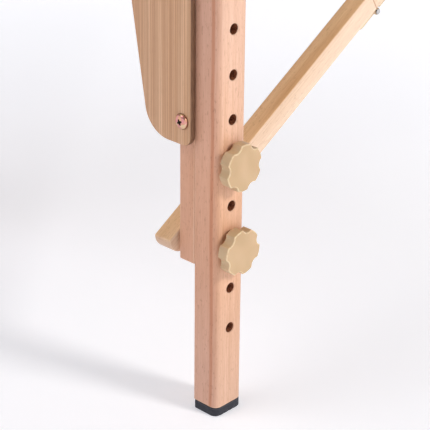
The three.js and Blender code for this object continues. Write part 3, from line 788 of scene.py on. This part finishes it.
def rail(node, seed, cuts_for):
    low, high = box(node)
    middle = (low + high) / 2
    half = (high - low) / 2
    section = rounded_box(-half.x, half.x, -half.z, half.z, SQUARE)
    bar = soften(prism(section, -half.y, half.y), RAIL_EDGE_R)
    place = axes(middle, Y, X)
    to_local = axes(Vector(), Y, X).inverted()
    cuts = [moved(c, to_local) for c in cuts_for(middle, half)]
    wood = beech(node + "_beech", seed, **RAIL_WOOD)
    stand_for(make(node + "_look", bar, place, [wood, DRILLED_AND_SHADED], [together(cuts)]), node)


def mounting_rail_cuts(middle, half):
    cuts = leaf_holes("fixed", middle)
    for y in TABLE_BORES:
        at = Vector((TABLE_BORE_X - middle.x, y, -half.z))
        cuts.append(hole(at, Z, TABLE_BORE_R, 2 * half.z + 1, TABLE_BORE_SINK))
    return cuts


def hinge_rail_cuts(middle, half):
    cuts = leaf_holes("moving", middle)
    for name, side in SIDES:
        for i in (1, 2):
            low, high = box(f"{name}_rail_screw_{i}")
            centre = (low + high) / 2
            at = Vector((centre.x - middle.x, side * half.y, centre.z - middle.z))
            cuts.append(hole(at, Y * -side, RAIL_SCREW["shank"] + CLEAR, RAIL_HOLE_DEPTH))
    return cuts


rail("mounting_rail", SEEDS["rail"][0], mounting_rail_cuts)
rail("hinge_rail", SEEDS["rail"][1], hinge_rail_cuts)

# ---- end panel ----------------------------------------------------------------------------------

def panel_half():
    """Half of the panel's outline: points [in from the outer face, height above the floor]."""
    slant = math.degrees(PANEL_SLANT)
    lobe_z = PANEL_LOW + PANEL_LOBE_R
    tangent = (PANEL_LOBE_IN + PANEL_LOBE_R * math.cos(PANEL_SLANT),
               lobe_z - PANEL_LOBE_R * math.sin(PANEL_SLANT))
    shoulder = tangent[0] + (PANEL_SHOULDER - tangent[1]) * math.tan(PANEL_SLANT)
    crown = bezier((OUTER, PANEL_CROWN), (OUTER - CROWN_PULL, PANEL_CROWN),
                   (shoulder + SHOULDER_PULL[0], PANEL_SHOULDER + SHOULDER_PULL[1]),
                   (shoulder, PANEL_SHOULDER), 24)
    lobe = arc(PANEL_LOBE_IN, lobe_z, PANEL_LOBE_R, -slant, -90, 18)
    corner = arc(PANEL_EDGE + PANEL_CORNER_R, PANEL_LOW + PANEL_CORNER_R, PANEL_CORNER_R, -90, -180, 8)
    top = box("end_panel")[1].z - FLOOR
    return crown + lobe + corner + [(PANEL_EDGE, top)]


def end_panel():
    low, high = box("end_panel")
    thickness = high.x - low.x
    half = panel_half()
    rear = [(OUTER - a, FLOOR + b) for a, b in half]
    front = [(a - OUTER, FLOOR + b) for a, b in half]
    outline = rear[1:] + front[::-1]
    board = soften(prism(outline, 0, thickness, "yz"), PANEL_EDGE_R, 2)
    cuts, shadow_rings = [], []
    for name, _ in SIDES:
        for i in (1, 2):
            a, b = box(f"{name}_panel_screw_{i}")
            at = Vector((0, (a.y + b.y) / 2, (a.z + b.z) / 2))
            cuts.append(moved(drill(PANEL_SCREW["shank"] + CLEAR, 0, thickness), axes(at, X, Y)))
            # A shallow ring round each screw head, whose dark walls are a painted contact shadow round
            # the head.
            shadow_rings.append(hole(at, X, PANEL_SCREW["head"] + SHADOW_RING, SHADOW_RING))
    place = Matrix.Translation((low.x, 0, 0))
    cutters = [together(cuts), together(shadow_rings)]
    stand_for(make("end_panel_look", board, place, [VENEER, DRILLED_AND_SHADED], cutters), "end_panel")


end_panel()

# ---- screws, bolts, nuts and washers ------------------------------------------------------------

def dome(radius, height, steps=7):
    """Profile of a domed head, from its rim to just off its top."""
    rim = height * 0.22
    ease = min(0.25, height * 0.1)
    points = [(radius - ease, 0), (radius, ease), (radius, rim)]
    for i in range(1, steps):
        t = math.pi / 2 * i / steps
        points.append((radius * math.cos(t), rim + (height - rim) * math.sin(t)))
    points.append((radius * 0.03, height))
    return points


def cross_recess(radius, height):
    """Cutter for a cross recess in a screw's head."""
    arm, reach = radius * 0.13, radius * 0.52
    corners = []
    for quarter in range(4):
        t = quarter * math.pi / 2
        for x, y in ((reach, -arm), (reach, arm), (arm * 1.5, arm * 1.5)):
            corners.append((x * math.cos(t) - y * math.sin(t), x * math.sin(t) + y * math.cos(t)))
    return prism(corners, height * 0.25, height + 1, taper=0.45)


def screw(name, size, length, place, turn):
    tip = [(CENTRE_R, -length), (size["shank"], -length + 1.5 * size["shank"]), (size["shank"], 0)]
    body = turned(tip + dome(size["head"], size["height"]), 36)
    recess = cross_recess(size["head"], size["height"])
    place = place @ Matrix.Rotation(turn, 4, "Z")
    return make(name, body, place, [SCREW_ZINC, RECESS_SHADE], [recess], smooth=40)


def screws(pattern, size, out_of):
    """Screws whose CAD nodes match the pattern, heads out_of(side), each turned to its own angle."""
    first = None
    for name, side in SIDES:
        for i in (1, 2):
            node = pattern.format(name, i)
            low, high = box(node)
            centre = (low + high) / 2
            out = out_of(side)
            axis = max(range(3), key=lambda k: abs(out[k]))
            top = high[axis] if out[axis] > 0 else low[axis]
            at = centre.copy()
            at[axis] = top - out[axis] * size["height"]
            place = axes(at, out, Z if abs(out.z) < 0.5 else X)
            turn = 0.35 + 1.1 * i + side
            if first is None:
                length = high[axis] - low[axis] - size["height"]
                first = screw(node + "_look", size, length, place, turn)
                stand_for(first, node)
            else:
                turned_place = place @ Matrix.Rotation(turn, 4, "Z")
                stand_for(copy_of(first, node + "_look", turned_place), node)


screws("{}_panel_screw_{}", PANEL_SCREW, lambda side: -X)
screws("{}_rail_screw_{}", RAIL_SCREW, lambda side: Y * side)
screws("{}_fixed_leaf_screw_{}", LEAF_SCREW, lambda side: X)
screws("{}_moving_leaf_screw_{}", LEAF_SCREW, lambda side: X)


def bolt(node, side, head):
    low, high = box(node)
    length = high.y - low.y - head[1]
    at = (low + high) / 2
    at.y = (low.y if side > 0 else high.y) + side * head[1]
    shank = [(CENTRE_R, -length), (BOLT_R - BOLT_CHAMFER, -length), (BOLT_R, BOLT_CHAMFER - length)]
    body = turned(shank + threads(-length) + [(BOLT_R, 0)] + dome(*head, steps=10), 44)
    stand_for(make(node + "_look", body, axes(at, Y * -side, X), [ZINC]), node)


def threads(tip):
    """Profile of a bolt's thread as rings, crest and root by turns, up from its tip."""
    points = []
    for i in range(int((THREAD_END - THREAD_START) / THREAD_PITCH)):
        z = tip + THREAD_START + i * THREAD_PITCH
        points += [(BOLT_R, z), (BOLT_R - THREAD_DEPTH, z + THREAD_PITCH / 2)]
    return points


def hexagon_nut(node):
    low, high = box(node)
    half = (high.y - low.y) / 2
    outline = [(NUT_R * math.cos(i * math.pi / 3), NUT_R * math.sin(i * math.pi / 3)) for i in range(6)]
    nut = soften(prism(outline, -half, half), 0.5, 2)
    place = axes((low + high) / 2, Y, X)
    stand_for(make(node + "_look", nut, place, [ZINC], [drill(BOLT_FIT, -half, half, 0.3)]), node)


def washer(node):
    low, high = box(node)
    half = (high.y - low.y) / 2
    radius = (high.x - low.x) / 2
    ease = 0.25
    profile = [(BOLT_FIT, -half), (radius - ease, -half), (radius, ease - half),
               (radius, half - ease), (radius - ease, half), (BOLT_FIT, half)]
    ring = turned(profile, 44, closed=True)
    stand_for(make(node + "_look", ring, axes((low + high) / 2, Y, X), [ZINC]), node)


# ---- star knobs ---------------------------------------------------------------------------------

def knob_radius(turn, inset):
    """Radius of a knob's outline, drawn in by inset: a circle with scooped flutes and eased corners."""
    pitch = 2 * math.pi / KNOB_LOBES
    off_flute = abs(turn % pitch - pitch / 2)
    rim, scoop = KNOB_R - inset, KNOB_SCOOP_R + inset
    scoop_at = KNOB_R - KNOB_FLUTE + KNOB_SCOOP_R
    inside = scoop ** 2 - (scoop_at * math.sin(off_flute)) ** 2
    if inside <= 0:
        return rim
    scooped = scoop_at * math.cos(off_flute) - math.sqrt(inside)
    ease = 0.16
    return -ease * math.log(math.exp(-rim / ease) + math.exp(-scooped / ease))


def knob_body():
    """A knob along local Z: blind bore, hub, back, lobed rim and slightly dished face."""
    count = 24 * KNOB_LOBES
    turns = [2 * math.pi * i / count for i in range(count)]

    def ring(inset, height):
        radii = [knob_radius(t, inset) for t in turns]
        return [(r * math.cos(t), r * math.sin(t), height) for r, t in zip(radii, turns)]

    def circle(radius, height):
        return [(radius * math.cos(t), radius * math.sin(t), height) for t in turns]

    ease = 0.5
    back_r, face_r = KNOB_BACK_ROUND, KNOB_FACE_ROUND
    loops = [circle(0.1, KNOB_BORE), circle(BOLT_FIT, KNOB_BORE), circle(BOLT_FIT, HUB_BACK + ease),
             circle(BOLT_FIT + ease, HUB_BACK), circle(HUB_R - ease, HUB_BACK),
             circle(HUB_R, HUB_BACK + ease), circle(HUB_R, KNOB_BACK - ease),
             circle(HUB_R + ease, KNOB_BACK), ring(back_r, KNOB_BACK)]
    for i in range(1, 5):
        t = math.pi / 2 * i / 4
        loops.append(ring(back_r * (1 - math.sin(t)), KNOB_BACK + back_r * (1 - math.cos(t))))
    for i in range(7):
        t = math.pi / 2 * i / 6
        loops.append(ring(face_r * (1 - math.cos(t)), KNOB_FACE - face_r * (1 - math.sin(t))))
    for further_in, rise in KNOB_DISH:
        loops.append(ring(face_r + further_in, KNOB_FACE + rise))
    return rings(new_shape(), loops)


def star_knob(name, level, side, seed):
    node = f"{name}_{level}_knob"
    body = knob_body()
    layer = body.faces.layers.float["edge"]
    # The front lip is marked as edge, for scuffs and a painted highlight.
    for face in body.faces:
        if face.calc_center_median().z > KNOB_FACE - KNOB_FACE_ROUND and 0.25 < face.normal.z < 0.985:
            face[layer] = 1.0
    place = axes(joint_at(f"{name}_{level}_knob_turn"), Y * side, X)
    place = place @ Matrix.Rotation(side * KNOB_TURNS[level], 4, "Z")
    plastic = moulded_plastic(f"{node}_plastic", seed)
    stand_for(make(node + "_look", body, place, [plastic]), node)


for number, (name, side) in enumerate(SIDES):
    bolt(f"{name}_clamp_bolt", side, CLAMP_HEAD)
    bolt(f"{name}_pivot_bolt", side, PIVOT_HEAD)
    hexagon_nut(f"{name}_pivot_nut")
    for level in ("upper", "lower"):
        washer(f"{name}_{level}_washer")
        star_knob(name, level, side, 2 * number + (level == "lower") + 0.5)

# ---- hinges -------------------------------------------------------------------------------------

def knuckle_spans(length, outer):
    """Stretches along the pin of a leaf's knuckles: the two outer thirds or the middle one."""
    if outer:
        return [(-length / 2, -length / 6 - CLEAR), (length / 6 + CLEAR, length / 2)]
    return [(-length / 6, length / 6)]


def hinge_leaf(length, reach, outer, holes):
    """Leaf with rolled knuckles on local Y. It lies on wood at -X and runs up +Z."""
    back, front = -BARREL_R, LEAF_T - BARREL_R
    start = BARREL_R + 1
    plate = rounded_box(-length / 2, length / 2, start, reach, (0.4, 0.4, 3, 3), 5)
    shapes = [soften(prism(plate, back, front, "yz"), 0.35, 2)]
    for y0, y1 in knuckle_spans(length, outer):
        knuckle = [(PIN_R + CLEAR, y0), (BARREL_R - HINGE_EASE, y0), (BARREL_R, y0 + HINGE_EASE),
                   (BARREL_R, y1 - HINGE_EASE), (BARREL_R - HINGE_EASE, y1), (PIN_R + CLEAR, y1)]
        shapes.append(moved(turned(knuckle, 32, closed=True), axes(Vector(), Y, X)))
        tail = rounded_box(y0, y1, 0, start + 1, SQUARE)
        shapes.append(prism(tail, back, front, "yz"))
    cuts = []
    for y, z in holes:
        at = Vector((front, y, z))
        cuts.append(hole(at, -X, LEAF_SCREW["shank"] + CLEAR, LEAF_T + 1, LEAF_SINK))
    return shapes, cuts


def leaf_piece(node, length, reach, outer, holes, place):
    shapes, cuts = hinge_leaf(length, reach, outer, holes)
    stand_for(make(node + "_look", together(shapes), place, [ZINC], [together(cuts)]), node)


def mirrored(profile):
    """A profile with its other end put below it, the same as it stands above."""
    return [(r, -z) for r, z in reversed(profile)] + profile


def hinge_pin(node):
    low, high = box(node)
    half = (high.y - low.y) / 2
    neck = half - PIN_HEAD_T
    head = [(PIN_R, neck), (PIN_HEAD_R, neck), (PIN_HEAD_R, half - HINGE_EASE),
            (PIN_HEAD_R - HINGE_EASE, half), (CENTRE_R, half)]
    pin = turned(mirrored(head), 28)
    stand_for(make(node + "_look", pin, axes((low + high) / 2, Y, X), [STEEL]), node)


def leg_hinge(name):
    fold = joint_at("leg_fold")
    low, high = box(f"{name}_hinge_fixed_leaf")
    centre = Vector((fold.x, (low.y + high.y) / 2, fold.z))
    for which, up in (("fixed", 1), ("moving", -1)):
        holes = [(y, HINGE_HOLES[which]) for y in (-HINGE_HOLE_Y, HINGE_HOLE_Y)]
        leaf_piece(f"{name}_hinge_{which}_leaf", HINGE_L, HINGE_REACH[which], which == "fixed",
                   holes, axes(centre, Z * up, X))
    hinge_pin(f"{name}_hinge_pin")


for name, _ in SIDES:
    leg_hinge(name)

# ---- folding struts -----------------------------------------------------------------------------

def strut_line(name):
    """A strut's lower pivot, its direction, its length and how far along it the elbow is."""
    pivot = joint_at(f"{name}_strut_pivot")
    reach = joint_at(f"{name}_bracket_pivot") - pivot
    along = reach.normalized()
    return pivot, along, reach.length, (joint_at(f"{name}_elbow") - pivot).dot(along)


def lower_strut_outline(elbow_at):
    """Points [across, along] with a lower end rounded about a centre a little above the middle."""
    half, end = STRUT_H / 2, elbow_at - CLEAR / 2
    foot = math.degrees(math.asin((half + STRUT_END_RISE) / STRUT_END_R))
    top = math.degrees(math.asin((half - STRUT_END_RISE) / STRUT_END_R))
    centre = STRUT_END_R - STRUT_END
    rounding = arc(centre, STRUT_END_RISE, STRUT_END_R, 180 - top, 180 + foot, 18)
    return [(b, a) for a, b in rounding] + [(-half, end), (half, end)]


def upper_strut_outline(elbow_at, length):
    """Points [across, along] with a half-round upper end about the rivet."""
    half, end = STRUT_H / 2, elbow_at + CLEAR / 2
    return [(half, end), (-half, end)] + [(b, a) for a, b in arc(length, 0, half, -90, 90, 24)]


def strut_bar(node, outline, bores, place, seed):
    low, high = box(node)
    half_t = (high.y - low.y) / 2
    bar = soften(prism(outline, -half_t, half_t, "xz"), STRUT_EDGE_R)
    wood = beech(f"{node}_beech", seed, **STRUT_WOOD)
    stand_for(make(node + "_look", bar, place, [wood, DRILLED_AND_SHADED], bores), node)


def elbow_half(name, which, towards, along, away):
    """One leaf of an elbow hinge and its screws. The leaf runs towards one end of the strut."""
    node = f"{name}_elbow_{which}_leaf"
    place = axes(joint_at(f"{name}_elbow"), towards, away)
    holes = [(0, z) for z in ELBOW_HOLES]
    leaf_piece(node, ELBOW_L, HINGE_REACH["elbow"], which == "lower", holes, place)
    for i, z in enumerate(ELBOW_HOLES):
        at = place @ Vector((LEAF_T - BARREL_R, 0, z))
        head_place = axes(at, away, along)
        head = screw(f"{node}_screw_{i + 1}", ELBOW_SCREW, ELBOW_SCREW_L, head_place, 0.5 + i)
        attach(head, BODY_OF[node])


def struts(name, side, seed):
    low, high = box(f"{name}_lower_strut")
    half_t = (high.y - low.y) / 2
    pivot, along, length, elbow_at = strut_line(name)
    across = Vector((-along.z, 0, along.x))
    place = axes(pivot, along, across)
    bore = moved(drill(BOLT_FIT, -half_t, half_t, BORE_RIM), axes(Vector(), Y, X))
    recess = hole(Vector((0, side * half_t, 0)), Y * -side, SINK_R, SINK, BORE_RIM)
    strut_bar(f"{name}_lower_strut", lower_strut_outline(elbow_at), [bore, recess], place, seed)
    bore = moved(drill(RIVET_R + CLEAR, -half_t, half_t, BORE_RIM), axes(Vector((0, 0, length)), Y, X))
    outline = upper_strut_outline(elbow_at, length)
    strut_bar(f"{name}_upper_strut", outline, [bore], place, seed + UPPER_STRUT_SEED)
    for which, towards in (("lower", -1), ("upper", 1)):
        elbow_half(name, which, along * towards, along, -across)
    hinge_pin(f"{name}_elbow_pin")


def bracket(name):
    node = f"{name}_strut_bracket"
    low, high = box(node)
    pin = joint_at(f"{name}_bracket_pivot")
    cheek_out = (high.y - low.y) / 2
    cheek_in = cheek_out - BRACKET_T
    half = BRACKET_L / 2
    plate = rounded_box(-half, half, -cheek_out, cheek_out, (4, 4, 4, 4), 6)
    shapes = [soften(prism(plate, -BRACKET_T, 0), PLATE_EDGE_R, 2)]
    tip = CHEEK_TIP_R - BRACKET_DROP
    cheek = arc(0, tip, CHEEK_TIP_R, 180, 360, 20)
    cheek += [(CHEEK_TOP / 2, -BRACKET_T / 2), (-CHEEK_TOP / 2, -BRACKET_T / 2)]
    shapes.append(soften(prism(cheek, cheek_in, cheek_out, "xz"), PLATE_EDGE_R, 2))
    shapes.append(soften(prism(cheek, -cheek_out, -cheek_in, "xz"), PLATE_EDGE_R, 2))
    rivet_hole = drill(RIVET_R + CLEAR, -cheek_out, cheek_out)
    cuts = [moved(rivet_hole, axes(Vector((0, 0, pin.z)), Y, X))]
    for x in (-half + BRACKET_BORE_IN, half - BRACKET_BORE_IN):
        cuts.append(hole(Vector((x, 0, -BRACKET_T)), Z, BRACKET_BORE_R, BRACKET_T + 1, 0.8))
    place = Matrix.Translation((pin.x, pin.y, 0))
    stand_for(make(node + "_look", together(shapes), place, [ZINC], [together(cuts)]), node)


def rivet(name):
    node = f"{name}_bracket_rivet"
    low, high = box(node)
    half = (high.y - low.y) / 2
    neck = half - RIVET_HEAD_T
    head = [(RIVET_R, neck), (RIVET_HEAD_R, neck)]
    for i in range(1, 7):
        t = math.pi / 2 * i / 6.5
        head.append((RIVET_HEAD_R * math.cos(t), neck + RIVET_HEAD_T * math.sin(t)))
    body = turned(mirrored(head), 36)
    stand_for(make(node + "_look", body, axes((low + high) / 2, Y, X), [STEEL]), node)


for number, (name, side) in enumerate(SIDES):
    struts(name, side, SEEDS["strut"][number])
    bracket(name)
    rivet(name)

# ---- floor, light and camera --------------------------------------------------------------------

FLOOR_R = 12000
SWEEP_R = 2500
WALL_TOP = 4500
FLAT_R = 4500
NEAR_GLOW, FAR_GLOW = 0.34, 0.62
GLOW_FROM, GLOW_TO = 0.45, 1.4
WORLD_COLOUR = (1, 0.98, 0.98, 1)
WORLD_STRENGTH = 0.18
AIM = Vector((0, -0.25, -0.35))
LAMPS = (
    {"name": "key", "at": AIM + Vector((0.23, -0.81, 0.54)) * 4.2, "size": 1.0, "watts": 93,
     "colour": (1, 0.98, 0.945)},
    {"name": "top", "at": AIM + Vector((-1.4, 0.9, 2.2)), "size": 2.0, "watts": 21,
     "colour": (1, 0.985, 0.99)},
)


def floor():
    """A pale round floor whose rim sweeps up into a wall, lit faintly from within towards the wall."""
    profile = [(r, 0) for r in (10, FLAT_R, FLOOR_R - SWEEP_R)]
    profile += [(r, z) for r, z in arc(FLOOR_R - SWEEP_R, SWEEP_R, SWEEP_R, -90, 0, 16)[1:]]
    profile.append((FLOOR_R, WALL_TOP))
    bm = turned(profile, 96)
    bm.faces.ensure_lookup_table()
    lid = max(bm.faces, key=lambda face: face.calc_center_median().z if len(face.verts) > 4 else 0)
    bm.faces.remove(lid)
    paint = Paint("pale_floor", Roughness=0.9)
    distance = paint.node("ShaderNodeVectorMath", Vector=paint.place)
    distance.operation = "LENGTH"
    away = paint.window(distance.outputs["Value"], GLOW_FROM, GLOW_TO)
    glow = paint.math("MULTIPLY_ADD", away, FAR_GLOW - NEAR_GLOW, NEAR_GLOW)
    paint.feed(paint.shader.inputs["Emission Strength"], glow)
    mottle = paint.noise((3, 3, 3), detail=1.0)
    paint.colour(paint.ramp(mottle, [(0.3, (0.80, 0.80, 0.83)), (0.7, (0.82, 0.82, 0.845))]))
    paint.shader.inputs["Emission Color"].default_value = (0.97, 0.98, 1.03, 1)
    make("floor", bm, Matrix.Translation((0, 0, FLOOR)), [paint.material])


def area_light(name, at, size, watts, colour):
    light = bpy.data.lights.new(name, "AREA")
    light.shape = "DISK"
    light.size = size
    light.energy = watts
    light.color = colour
    lamp = bpy.data.objects.new(name, light)
    bpy.context.scene.collection.objects.link(lamp)
    lamp.location = at
    lamp.rotation_euler = (AIM - at).to_track_quat("-Z", "Y").to_euler()


def light_stage():
    world = bpy.data.worlds.new("studio")
    world.use_nodes = True
    background = world.node_tree.nodes["Background"]
    background.inputs["Color"].default_value = WORLD_COLOUR
    background.inputs["Strength"].default_value = WORLD_STRENGTH
    bpy.context.scene.world = world
    for lamp in LAMPS:
        area_light(**lamp)


CAMERA_AT = Vector((-0.9012, -1.1411, 0.1509))
CAMERA_YAW = math.radians(46.55)
CAMERA_PITCH = math.radians(25.24)
CAMERA_ROLL = math.radians(-0.58)
CAMERA_LENS = 132.3
SENSOR = 36


def camera():
    forward = Vector((math.sin(CAMERA_YAW) * math.cos(CAMERA_PITCH),
                      math.cos(CAMERA_YAW) * math.cos(CAMERA_PITCH), -math.sin(CAMERA_PITCH)))
    level = Vector((math.cos(CAMERA_YAW), -math.sin(CAMERA_YAW), 0))
    down = forward.cross(level)
    right = level * math.cos(CAMERA_ROLL) + down * math.sin(CAMERA_ROLL)
    data = bpy.data.cameras.new("camera")
    data.lens = CAMERA_LENS
    data.sensor_width = SENSOR
    made = bpy.data.objects.new("camera", data)
    bpy.context.scene.collection.objects.link(made)
    made.matrix_world = axes(CAMERA_AT, -forward, right)
    bpy.context.scene.camera = made


floor()
light_stage()
camera()
bpy.context.scene.view_settings.view_transform = "Standard"
